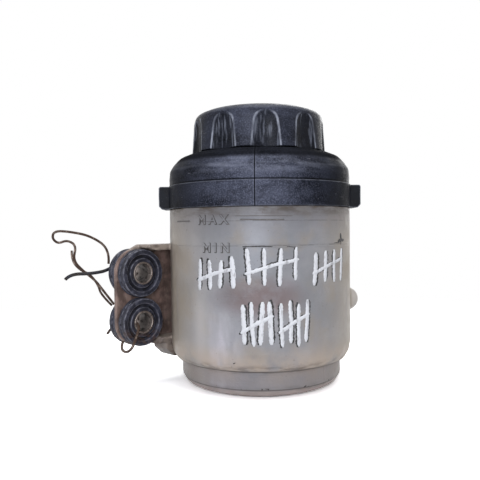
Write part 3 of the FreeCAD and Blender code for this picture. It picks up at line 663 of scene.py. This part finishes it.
def outside_of(mesh, cutter):
    """What of a mesh lies outside a closed cutter."""
    obj = placed("work", mesh)
    tool = placed("cutter", cutter)
    cut = obj.modifiers.new("cut", "BOOLEAN")
    cut.operation = "DIFFERENCE"
    cut.solver = "EXACT"
    cut.object = tool
    result = to_mesh(obj)
    bpy.data.objects.remove(tool)
    return result


def islands(mesh, keep):
    """The loose parts whose middle, in millimetres, keep() accepts."""
    work = bmesh.new()
    work.from_mesh(mesh)
    left = set(work.verts)
    doomed = []
    while left:
        stack = [left.pop()]
        group = list(stack)
        while stack:
            for edge in stack.pop().link_edges:
                for vert in edge.verts:
                    if vert in left:
                        left.discard(vert)
                        stack.append(vert)
                        group.append(vert)
        middle = sum((v.co for v in group), Vector()) / len(group) / MM
        if not keep(middle):
            doomed += group
    bmesh.ops.delete(work, geom=doomed, context="VERTS")
    kept = bpy.data.meshes.new("kept")
    work.to_mesh(kept)
    work.free()
    return kept


# Wires: diameter, length and points of each, and the loop's second strand

WIRES = {
    "tie_wire_front": (1.2, 50.3, [
        (-61.5, -18.8, 21.8), (-62.3, -20.2, 19.0), (-60.2, -22.0, 17.2), (-57.0, -23.2, 18.6),
        (-54.9, -22.2, 24.0), (-53.7, -19.0, 29.8), (-65.4, -3.6, 29.1), (-69.6, -2.2, 26.0),
        (-71.8, -4.9, 22.4),
    ]),
    "tie_wire_loop": (1.1, 84.5, [
        (-67.3, -10.0, 37.0), (-71.0, -13.8, 43.4), (-74.2, -14.6, 48.2), (-79.6, -14.8, 52.5),
        (-83.9, -16.2, 57.6), (-82.6, -14.6, 64.2), (-87.6, -12.2, 66.6), (-91.8, -11.8, 64.9),
        (-94.0, -13.4, 67.6), (-92.0, -15.8, 70.8), (-84.5, -18.4, 70.4), (-75.5, -17.0, 68.4),
        (-68.2, -12.4, 62.3), (-68.9, -12.4, 55.6),
    ]),
    "tie_wire_stick": (1.5, 37.0, [
        (-58.6, -2.0, 61.4), (-67.6, -11.2, 52.9), (-75.8, -16.4, 51.5), (-84.6, -17.6, 51.6),
        (-87.0, -17.3, 49.2),
    ]),
}
STRAND = [
    (-68.4, -9.6, 36.4), (-72.6, -12.6, 41.8), (-73.2, -14.2, 46.2), (-77.0, -14.2, 51.4),
    (-81.0, -15.2, 53.0), (-84.8, -15.2, 57.6), (-84.9, -14.2, 61.8),
]


def wire_curve(name, points, diameter):
    """Round NURBS wire in metres along chosen points."""
    data = bpy.data.curves.new(name, "CURVE")
    data.dimensions = "3D"
    data.bevel_depth = diameter / 2 * MM
    data.bevel_resolution = 5
    data.use_fill_caps = True
    spline = data.splines.new("NURBS")
    spline.points.add(len(points) - 1)
    for place, point in zip(spline.points, points):
        place.co = (point[0] * MM, point[1] * MM, point[2] * MM, 1.0)
    spline.order_u = 3
    spline.resolution_u = 10
    spline.use_endpoint_u = True
    return placed(name, data)


def make_wires():
    """Three wires and the second strand beside the loop's first stretch."""
    rusty = metal("rusty_wire", rgb(118, 104, 96), rgb(74, 54, 43), 0.72)
    dark = metal("dark_wire", rgb(50, 51, 58), rgb(42, 36, 34), 0.4)
    strand = add_object("wire_second_strand", to_mesh(wire_curve("strand", STRAND, 1.0)), "tank", rusty)
    for node, (diameter, length, points) in WIRES.items():
        wire = wire_curve(node.replace("tie_", "twisted_"), points, diameter)
        stick = node == "tie_wire_stick"
        wire.data.materials.append(dark if stick else rusty)
        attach(wire, "tank")
        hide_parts(node)


# Vessel

def vessel_form(angle, r, z):
    """Slight waviness of the wall."""
    if r > 36 and z > 13:
        r += wave(angle, z, 26, 0.22) + wave(angle, z, 9, 0.05, 5)
    return r, z


def make_vessel(look):
    """Barrel of the vessel, inside and out."""
    outline = rounded([
        (35.6, 12.0, 0.0), (37.6, 12.0, 0.3), (39.2, 12.0, 1.6), (41.3, 15.0, 4.5),
        (VESSEL_R, 19.6, 6.0), (VESSEL_R, 79.9, 0.5), (40.6, 79.9, 0.2), (40.6, 90.0, 0.3),
        (39.4, 90.0, 0.3), (39.4, 15.0, 1.5), (35.6, 15.0, 0.2),
    ])
    vessel = add_spun("vessel_barrel", "tank", look, outline, angles_round(320), vessel_form)
    return vessel


def make_fittings(look, bracket_look):
    """Bracket and both hose connections, each grown out of the wall with soft corners."""
    grain, rounds = 0.4, 3
    bracket = fused([welded_copy("bracket"), wall_patch(170, 196, 20.5, 65)], grain, rounds)
    bracket = add_object("bracket_moulding", bracket, "tank", bracket_look)
    outside = outside_of(welded_copy("vessel"), solid_cylinder(VESSEL_R + 0.05, -5, 95))
    back = islands(outside, lambda m: m.x > 25 and m.z < 70)
    low = islands(outside, lambda m: abs(m.x) < 20 and m.y > 30)
    catches = islands(outside, lambda m: m.z > 75)
    back = fused([back, wall_patch(-8, 46, 28, 45, 40.6)], grain, rounds)
    patches = [wall_patch(68, 112, 20.5, 36, 40.6), wall_patch(76, 104, 14.5, 21, 40.0, 41.2)]
    low = fused([low, *patches], grain, rounds)
    fittings = [
        add_object("return_connection", back, "tank", look),
        add_object("outlet_connection", low, "tank", look),
        add_object("collar_catches", catches, "tank", look),
    ]
    return bracket


# Level marks and hand-painted strokes

def on_wall(degrees, z, lift):
    """Point on the vessel's wall at an angle from its front."""
    angle = FRONT + math.radians(degrees)
    reach = vessel_form(angle, VESSEL_R, z)[0] + lift
    return (reach * math.cos(angle), reach * math.sin(angle), z)


def ribbon(verts, faces, path, width, lift, seed, ragged):
    """Raised strip along (degrees, z) points, with uneven edges and tapered ends."""
    chance = random.Random(seed)
    step, sunk, brow = 0.5, -0.12, 0.8
    flat = [Vector((d * WALL_DEGREE, z)) for d, z in path]
    fine = []
    for here, there in zip(flat, flat[1:]):
        pieces = max(1, int((there - here).length / step))
        fine += [here.lerp(there, part / pieces) for part in range(pieces)]
    fine.append(flat[-1])
    first = len(verts)
    for index, point in enumerate(fine):
        ahead = fine[min(index + 1, len(fine) - 1)] - fine[max(index - 1, 0)]
        side = Vector((-ahead.y, ahead.x)).normalized()
        end = min(index, len(fine) - 1 - index) * step
        taper = min(1.0, 0.45 + end / max(width, 0.3) * 0.8)
        left = width / 2 * taper * (1 + chance.uniform(-ragged, ragged))
        right = width / 2 * taper * (1 + chance.uniform(-ragged, ragged))
        for across, up in (
            (-left, sunk), (-left * brow, lift * brow), (0.0, lift),
            (right * brow, lift * brow), (right, sunk),
        ):
            spot = point + side * across
            verts.append(on_wall(spot.x / WALL_DEGREE, spot.y, up))
    for index in range(len(fine) - 1):
        for k in range(4):
            here = first + 5 * index + k
            faces.append((here, here + 1, here + 6, here + 5))
    last = first + 5 * (len(fine) - 1)
    faces.append(tuple(first + k for k in (4, 3, 2, 1, 0)))
    faces.append(tuple(last + k for k in range(5)))


# Groups of strokes: left and right in degrees from the front, then low and high
TALLIES = [
    (-38.4, -17.4, 45.4, 59.0), (-8.6, 18.2, 48.2, 62.6), (30.6, 54.0, 47.6, 62.2),
    (-11.2, 3.4, 23.4, 41.0), (9.8, 24.6, 23.2, 41.4),
]
# Dark dashes, and dark blots with their widths, along (degrees, z) points
DASHES = [
    [(-11.5, 63.6), (-1.0, 63.7), (5.0, 63.5)], [(13.0, 63.4), (19.5, 63.1)], [(46.0, 64.2), (52.5, 64.6)],
]
BLOTS = [
    ([(54.0, 68.4), (54.4, 66.0), (54.0, 63.6)], 1.9), ([(50.6, 65.0), (54.0, 65.6), (58.6, 65.4)], 1.5),
    ([(-17.4, 16.2), (-16.4, 16.6)], 0.8),
]


def tally(left, right, low, high, seed):
    """Four leaning strokes and one across them, as (degrees, z) paths with their widths."""
    chance = random.Random(seed)
    step = (right - left) / 3
    strokes = []
    for k in range(4):
        middle = left + step * k
        lean = chance.uniform(-0.8, 0.8)
        bend = chance.uniform(-0.5, 0.5)
        top = high + chance.uniform(-1.6, 0.8)
        foot = low + chance.uniform(-0.6, 1.8)
        path = [(middle + lean, top), (middle + bend, (top + foot) / 2), (middle - lean, foot)]
        strokes.append((path, chance.uniform(1.7, 2.3)))
    rise = (high - low) * 0.3
    centre = ((left + right) / 2, (low + high) / 2 + 0.6)
    path = [(left - 1.8, low + rise), centre, (right + 1.8, high - rise)]
    strokes.append((path, chance.uniform(1.6, 2.0)))
    return strokes


def make_strokes():
    """White brush strokes with dark edges, in groups of plain tally strokes, and dark blots."""
    light_verts, light_faces, dark_verts, dark_faces = [], [], [], []
    strokes = [stroke for seed, place in enumerate(TALLIES) for stroke in tally(*place, seed)]
    for seed, (path, width) in enumerate(strokes):
        chance = random.Random(seed + 50)
        ribbon(light_verts, light_faces, path, width, 0.17 + 0.012 * (seed % 5), seed, 0.16)
        shift = chance.choice((-0.9, 0.9)) * width / 2
        edge = [(d + shift, z + chance.uniform(-0.5, 0.9)) for d, z in path]
        ribbon(dark_verts, dark_faces, edge, width * 0.95, 0.09, seed + 20, 0.3)
    for path in DASHES:
        ribbon(dark_verts, dark_faces, path, 0.5, 0.08, len(path), 0.35)
    for path, width in BLOTS:
        ribbon(dark_verts, dark_faces, path, width, 0.1, len(dark_verts), 0.4)
    white = paint("white_paint", rgb(222, 223, 229), rgb(158, 157, 162))
    black = paint("black_marker", rgb(26, 25, 28), rgb(74, 70, 70))
    for name, verts, faces, look in (
        ("paint_strokes", light_verts, light_faces, white), ("marker_edges", dark_verts, dark_faces, black),
    ):
        add_object(name, mesh_from(name, verts, faces), "tank", look)


def word_on_wall(name, word, degrees, z, height, spread, look):
    """Raised level word, wrapped on the wall, its strokes widened by spread."""
    data = bpy.data.curves.new(name, "FONT")
    data.body = word
    size_to_capitals = 1.38
    data.size = height * size_to_capitals
    data.space_character = 1.55
    data.extrude = 0.2 - spread * 0.4
    data.bevel_depth = 0.06
    data.offset = spread - 0.03
    data.align_x = "CENTER"
    mesh = to_mesh(placed(name, data))
    sunk = 0.02
    for vert in mesh.vertices:
        x, y, up = vert.co
        vert.co = Vector(on_wall(degrees + x / WALL_DEGREE, z + y, up - sunk)) * MM
    return add_object(name, mesh, "tank", look)


def straight_ribbons(name, reflection_runs, look):
    """Ribbons along straight (degrees, z) runs with their width and lift."""
    verts, faces = [], []
    for (start, end), width, lift in reflection_runs:
        count = max(2, int(abs(end[0] - start[0]) / 1.5))
        run = [[a + (b - a) * k / count for a, b in zip(start, end)] for k in range(count + 1)]
        ribbon(verts, faces, run, width, lift, count, 0.05)
    return add_object(name, mesh_from(name, verts, faces), "tank", look)


def make_level_marks(look):
    """The two level words with dark outlines round them, a tick and the moulded ring lines."""
    # Dark, wider copies set slightly lower under the raised words and level lines.
    dark_marks = paint("mark_outline", rgb(66, 63, 64), rgb(104, 100, 99))
    faint = paint("line_outline", rgb(92, 88, 88), rgb(118, 114, 112))
    marks = [
        straight_ribbons("level_lines", (
            (((-60.5, 74.8), (-46.5, 74.7)), 0.5, 0.28), (((-12.5, 74.9), (11.5, 74.7)), 0.4, 0.24),
            (((-62.0, 64.0), (-20.0, 63.9)), 0.3, 0.14), (((-13.0, 64.6), (66.0, 64.0)), 0.3, 0.14),
            (((-13.0, 63.4), (66.0, 62.8)), 0.25, 0.1),
        ), look),
        straight_ribbons("level_line_outline", (
            (((-60.8, 74.4), (-46.2, 74.3)), 0.8, 0.1), (((-12.7, 74.5), (11.7, 74.3)), 0.6, 0.1),
            (((-15.5, 76.0), (16.5, 75.8)), 0.35, 0.1),
        ), faint),
    ]
    height = 3.9
    for word, degrees, z in (("MAX", -29.4, 72.9), ("MIN", -27.4, 61.4)):
        name = "level_word_" + word.lower()
        marks.append(word_on_wall(name, word, degrees, z, height, 0.0, look))
        marks.append(word_on_wall(name + "_outline", word, degrees + 0.2, z - 0.12, height, 0.24, dark_marks))


# Base cup

def base_form(angle, r, z):
    """Waviness and the mould line of the base cup."""
    if r < 30:
        return r, z
    seam = 0.22 * ridge(angle, BASE_SEAM, 0.012) if 0.5 < z < 11.9 and r > 34.7 else 0.0
    return r + seam + wave(angle, z, 14, 0.16), z


def make_base(look):
    """Stepped cup under the vessel."""
    outline = rounded([
        (0.0, 0.8, 0.0), (25.0, 0.8, 0.3), (25.8, 0.06, 0.3), (31.5, 0.06, 1.0), (35.3, 1.6, 3.0),
        (37.0, 4.6, 2.0), (37.0, 11.9, 0.35), (35.4, 11.9, 0.2), (35.4, 16.0, 0.4), (33.3, 16.0, 0.4),
        (33.3, 10.8, 0.3), (34.6, 9.6, 0.3), (34.6, 5.6, 0.8), (32.2, 3.2, 0.8), (0.0, 3.2, 0.0),
    ], closed=False)
    angles = angles_round(260, [(BASE_SEAM, 0.014)])
    cup = add_spun("base_moulding", "tank", look, outline, angles, base_form, closed=False)
    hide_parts("base_cup")


# Collar

def thread(angle, above, flat):
    """Height from 0 to 1 of a thread, at a height above its start."""
    return max(0.0, math.cos(math.tau * above / THREAD_PITCH - angle) - flat) / (1 - flat)


def collar_form(angle, r, z):
    """Neck thread, mould line and slight dents of the collar."""
    low, high = NECK_THREAD_Z
    if abs(r - NECK_R) < 0.06 and low < z < high:
        ends = min(1.0, (z - low) / 1.2, (high - z) / 1.2)
        return r + 0.42 * thread(angle, z - low, 0.35) * ends, z
    if r < 32 or (r < 41.5 and z < 93):
        return r, z
    seam = 0.16 * ridge(angle, COLLAR_SEAM, 0.008)
    return r - seam + wave(angle, z, 12, 0.14) + wave(angle, z, 4, 0.04, 3), z


def make_collar(look):
    """Band, dome and threaded neck, with both ears."""
    outline = rounded([
        (40.75, 80.0, 0.2), (42.5, 80.0, 0.35), (42.5, 90.5, 0.35), (41.95, 90.6, 0.15), (42.0, 93.6, 3.0),
        (41.6, 97.4, 3.0), (40.0, 99.9, 2.0), (37.2, 103.0, 4.0), (32.6, 104.9, 0.8), (32.2, 104.3, 0.2),
        (NECK_R, 104.3, 0.4), (NECK_R, 117.6, 0.5), (25.0, 117.6, 0.5), (25.0, 101.7, 0.8),
        (31.1, 101.7, 1.0), (37.4, 98.1, 1.5), (39.2, 93.6, 1.0), (39.2, 91.55, 0.2), (40.75, 91.55, 0.2),
    ], step=0.7)
    angles = angles_round(290, [(COLLAR_SEAM, 0.009)])
    collar = add_spun("collar_moulding", "tank", look, outline, angles, collar_form)
    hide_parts("collar")
    ear_look = black_plastic("ear_black", 0.1, (0.5, 0.6), 0.12)
    for side in (1, -1):
        make_ear(side, ear_look)


def make_ear(side, look):
    """Box round a catch, open inside, with worn edges."""
    outer = [(41.4, 80.0), (45.2, 80.0), (46.6, 81.4), (46.6, 89.9), (46.0, 90.5), (41.4, 90.5)]
    inner = [(41.0, 82.0), (44.8, 82.0), (44.8, 87.1), (41.0, 87.1)]
    box = outside_of(prism(outer, 7.0, side), prism(inner, 5.2, side))
    mesh = skinned(box, 0.22, 3)
    for vert in mesh.vertices:
        vert.co += Vector((side, 0, 0)) * noise.noise(vert.co / (3 * MM)) * 0.08 * MM
    return add_object("collar_ear_" + ("right" if side > 0 else "left"), mesh, "tank", look)


def prism(outline, half_width, side):
    """Closed prism along Y from an (x, z) outline."""
    count = len(outline)
    verts = [(side * x, y, z) for y in (-half_width, half_width) for x, z in outline]
    faces = [tuple(range(count)), tuple(range(2 * count - 1, count - 1, -1))]
    faces += [(k, k + count, (k + 1) % count + count, (k + 1) % count) for k in range(count)]
    mesh = mesh_from("prism", verts, faces)
    work = bmesh.new()
    work.from_mesh(mesh)
    bmesh.ops.recalc_face_normals(work, faces=work.faces)
    work.to_mesh(mesh)
    work.free()
    return mesh


# Cap

def soft_min(first, second, width):
    """Smaller of two values with a rounded change-over."""
    blend = max(0.0, width - abs(first - second)) / width
    return min(first, second) - blend * blend * width / 4


def cap_form(angle, r, z):
    """Scooped flutes with soft edges on the outside, thread grooves inside."""
    low, high = CAP_THREAD_Z
    if abs(r - CAP_BORE_R) < 0.06 and low < z < high:
        return r + 0.35 * thread(angle, z - low, 0.3), z
    if r < 28.9 or z < 105.3 or z > 123.5:
        return r, z
    away = (angle - FLUTE_PHASE + FLUTE_STEP / 2) % FLUTE_STEP - FLUTE_STEP / 2
    over = max(0.0, z - SCOOP_TOP_Z)
    if over >= SCOOP_R:
        return r, z
    scoop = math.sqrt(SCOOP_R ** 2 - over ** 2)
    across = SCOOP_AT * math.sin(away)
    if abs(across) >= scoop:
        return r, z
    depth = SCOOP_AT * math.cos(away) - math.sqrt(scoop ** 2 - across ** 2)
    return soft_min(r, depth, 0.35) + wave(angle, z, 3, 0.05), z


def make_cap(look):
    """Fluted screw cap."""
    outline = rounded([
        (CAP_BORE_R, 105.45, 0.2), (CAP_FOOT_R, 105.45, 0.5), (30.2, 119.2, 2.0), (29.3, 122.7, 3.2),
        (25.4, 124.3, 3.0), (12.0, 124.8, 20.0), (0.0, 124.85, 0.0), (0.0, 122.8, 0.0), (3.7, 122.8, 0.1),
        (3.7, 121.75, 0.2), (24.4, 121.75, 0.3), (24.4, 120.8, 0.1), (CAP_BORE_R, 120.8, 0.2),
    ], step=0.55)
    cap = add_spun("cap_moulding", "cap", look, outline, angles_round(440), cap_form)
    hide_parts("filler_cap")


# Bushes and sleeves

def on_bush_axis(name, surface, z):
    """Mesh of a surface made about Z, turned onto the bush axis at height z."""
    mesh = mesh_from(name, *surface)
    seat = Matrix.Translation(Vector((-BUSH_ALONG, BUSH_BEHIND, 0)) * MM)
    turn = Matrix.Rotation(math.radians(45), 4, "Z")
    tip = Matrix.Rotation(math.radians(90), 4, "X")
    mesh.transform(Matrix.Translation((0, 0, z * MM)) @ (turn @ seat) @ tip)
    return mesh


def bush_form(angle, r, z):
    """Wear and flash of a moulded bush."""
    if r < 5.3:
        return r, z
    swell = noise.noise(Vector((math.cos(angle) * r / 3, math.sin(angle) * r / 3, z / 3))) * 0.14
    return r + swell, z + (swell * 0.6 if abs(z) > 4 else 0.0)


def make_bushes():
    """Grooved rubber bushes and the steel sleeves in them."""
    half = [
        (8.4, 1.62, 0.15), (10.8, 1.62, 0.5), (10.8, 2.75, 0.3), (9.6, 3.1, 0.2), (9.6, 3.75, 0.2),
        (10.8, 4.1, 0.35), (10.8, 6.0, 0.8), (8.4, 6.0, 0.35), (8.0, 4.5, 0.3), (6.9, 4.5, 0.3),
        (6.6, 5.7, 0.3), (5.12, 5.7, 0.1),
    ]
    outline = rounded(half + [(r, -z, f) for r, z, f in reversed(half)], step=0.35)
    tube = rounded([
        (4.22, -6.4, 0.3), (5.1, -6.4, 0.25), (5.1, 6.4, 0.25), (4.22, 6.4, 0.3),
    ], step=0.5)
    angles = angles_round(116)
    steel = metal("sleeve_steel", rgb(158, 147, 142), rgb(80, 64, 57), 0.3, 0.36, bore_z=BUSH_Z.values())
    for name, rust in (("upper", 0.0), ("lower", 0.6)):
        z = BUSH_Z[name]
        look = rubber("bush_rubber_" + name, rust, ring_z=z)
        mesh = on_bush_axis("bush", spun(outline, angles, bush_form), z)
        bush = add_object("rubber_bush_" + name, mesh, "tank", look)
        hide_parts("bush_" + name)
        mesh = on_bush_axis("sleeve", spun(tube, angles), z)
        sleeve = add_object("steel_sleeve_" + name, mesh, "tank", steel)
        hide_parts("sleeve_" + name)


# Inner pieces keep their CAD meshes

def dress_inner_pieces():
    """Materials and slightly bevelled edges on the pieces inside."""
    natural = clean_plastic("liner_plastic", rgb(206, 202, 190))
    nylon = clean_plastic("mesh_nylon", rgb(188, 180, 160))
    seal = rubber("seal_rubber")
    steel = metal("clip_steel", rgb(180, 180, 182), rgb(112, 84, 66), 0.1)
    looks = {
        "cap_liner": natural, "strainer_frame": natural, "baffle": natural, "baffle_post": natural,
        "strainer_mesh": nylon, "collar_seal": seal, "cap_seal": seal, "vent_valve": seal,
        "baffle_clip": steel,
    }
    for node, look in looks.items():
        piece = nodes[node]
        piece.data.materials.clear()
        piece.data.materials.append(look)
        edge = piece.modifiers.new("worn_edges", "BEVEL")
        edge.width = 0.15 * MM
        edge.segments = 2
        edge.limit_method = "ANGLE"


# Stage

def shows_surround(tree):
    """One for the camera and for rays that reflect or pass through, else nothing."""
    rays = tree.nodes.new("ShaderNodeLightPath")
    shown = rays.outputs["Is Camera Ray"]
    for kind in ("Is Glossy Ray", "Is Transmission Ray"):
        either = tree.nodes.new("ShaderNodeMath")
        either.operation = "MAXIMUM"
        tree.links.new(shown, either.inputs[0])
        tree.links.new(rays.outputs[kind], either.inputs[1])
        shown = either.outputs[0]
    return shown


def make_floor():
    """Pale floor that fades to the surround."""
    s = Shader("pale_floor")
    shown = shows_surround(s.tree)
    seen = s.tree.nodes.new("ShaderNodeLightPath").outputs["Is Camera Ray"]
    pale = s.mix(s.fade(s.noise(60, 3), 0.3, 0.7), (2.3, 2.3, 2.32, 1), (2.4, 2.4, 2.4, 1))
    plain = s.mix(shown, (0.6, 0.6, 0.6, 1), (1.5, 1.5, 1.5, 1))
    s.set(Base_Color=s.mix(seen, plain, pale), Roughness=0.9, Specular_IOR_Level=0.0)
    hidden = s.both(s.fade(s.length(s.x, s.y), 110, 330), shown)
    clear = s.tree.nodes.new("ShaderNodeBsdfTransparent").outputs[0]
    mixed = s.node("ShaderNodeMixShader", {0: hidden, 1: s.surface.outputs[0], 2: clear})
    s.tree.links.new(mixed, s.output.inputs[0])
    size, low = 1500, -0.05
    corners = [(-size, -size, low), (size, -size, low), (size, size, low), (-size, size, low)]
    return add_object("floor", mesh_from("floor", corners, [(0, 1, 2, 3)]), None, s.material)


def make_light(name, place, size, power, tint):
    """Square area light aimed at the middle of the object."""
    data = bpy.data.lights.new(name, "AREA")
    data.shape = "SQUARE"
    data.size = size * MM
    data.energy = power
    data.color = tint
    light = placed(name, data)
    light.location = Vector(place) * MM
    aim = Vector((0, 0, 60)) * MM - light.location
    light.rotation_euler = aim.to_track_quat("-Z", "Y").to_euler()
    return light


def make_surround():
    """White surround that lights the object only dimly."""
    world = bpy.data.worlds.new("studio")
    bpy.context.scene.world = world
    world.use_nodes = True
    tree = world.node_tree
    tree.nodes.clear()
    blend = tree.nodes.new("ShaderNodeMixShader")
    tree.links.new(shows_surround(tree), blend.inputs[0])
    for index, tone in ((1, (0.2, 0.2, 0.205, 1)), (2, (1, 1, 1, 1))):
        around = tree.nodes.new("ShaderNodeBackground")
        around.inputs["Color"].default_value = tone
        tree.links.new(around.outputs[0], blend.inputs[index])
    output = tree.nodes.new("ShaderNodeOutputWorld")
    tree.links.new(blend.outputs[0], output.inputs[0])


def make_stage():
    """Floor, soft lights and surround."""
    staged = [make_floor()]
    for light in (
        ("front_softbox", (-160, -1250, 330), 800, 13.0, (0.93, 0.96, 1.0)),
        ("top_softbox", (0, -100, 1300), 1100, 8.0, (1.0, 1.0, 1.0)),
        ("right_fill", (1100, -500, 500), 700, 1.0, (1.0, 0.95, 0.9)),
        ("back_fill", (500, 1200, 500), 800, 5.0, (1.0, 1.0, 1.0)),
    ):
        staged.append(make_light(*light))
    make_surround()
    bpy.context.scene.view_settings.view_transform = "Standard"


make_camera()
make_wires()
milky = milky_plastic("milky_plastic")
vessel_barrel = make_vessel(milky)
bracket_moulding = make_fittings(milky, milky_plastic("stained_bracket", bracket=True))
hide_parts("vessel")
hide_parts("bracket")
make_level_marks(milky)
make_strokes()
make_base(milky_plastic("base_plastic"))
make_collar(black_plastic("collar_black", 0.56, (0.34, 0.48), 0.025, seamed=True))
make_cap(black_plastic("cap_black", 0.34, (0.22, 0.34), 0.05, fluted=True))
make_bushes()
dress_inner_pieces()
make_stage()
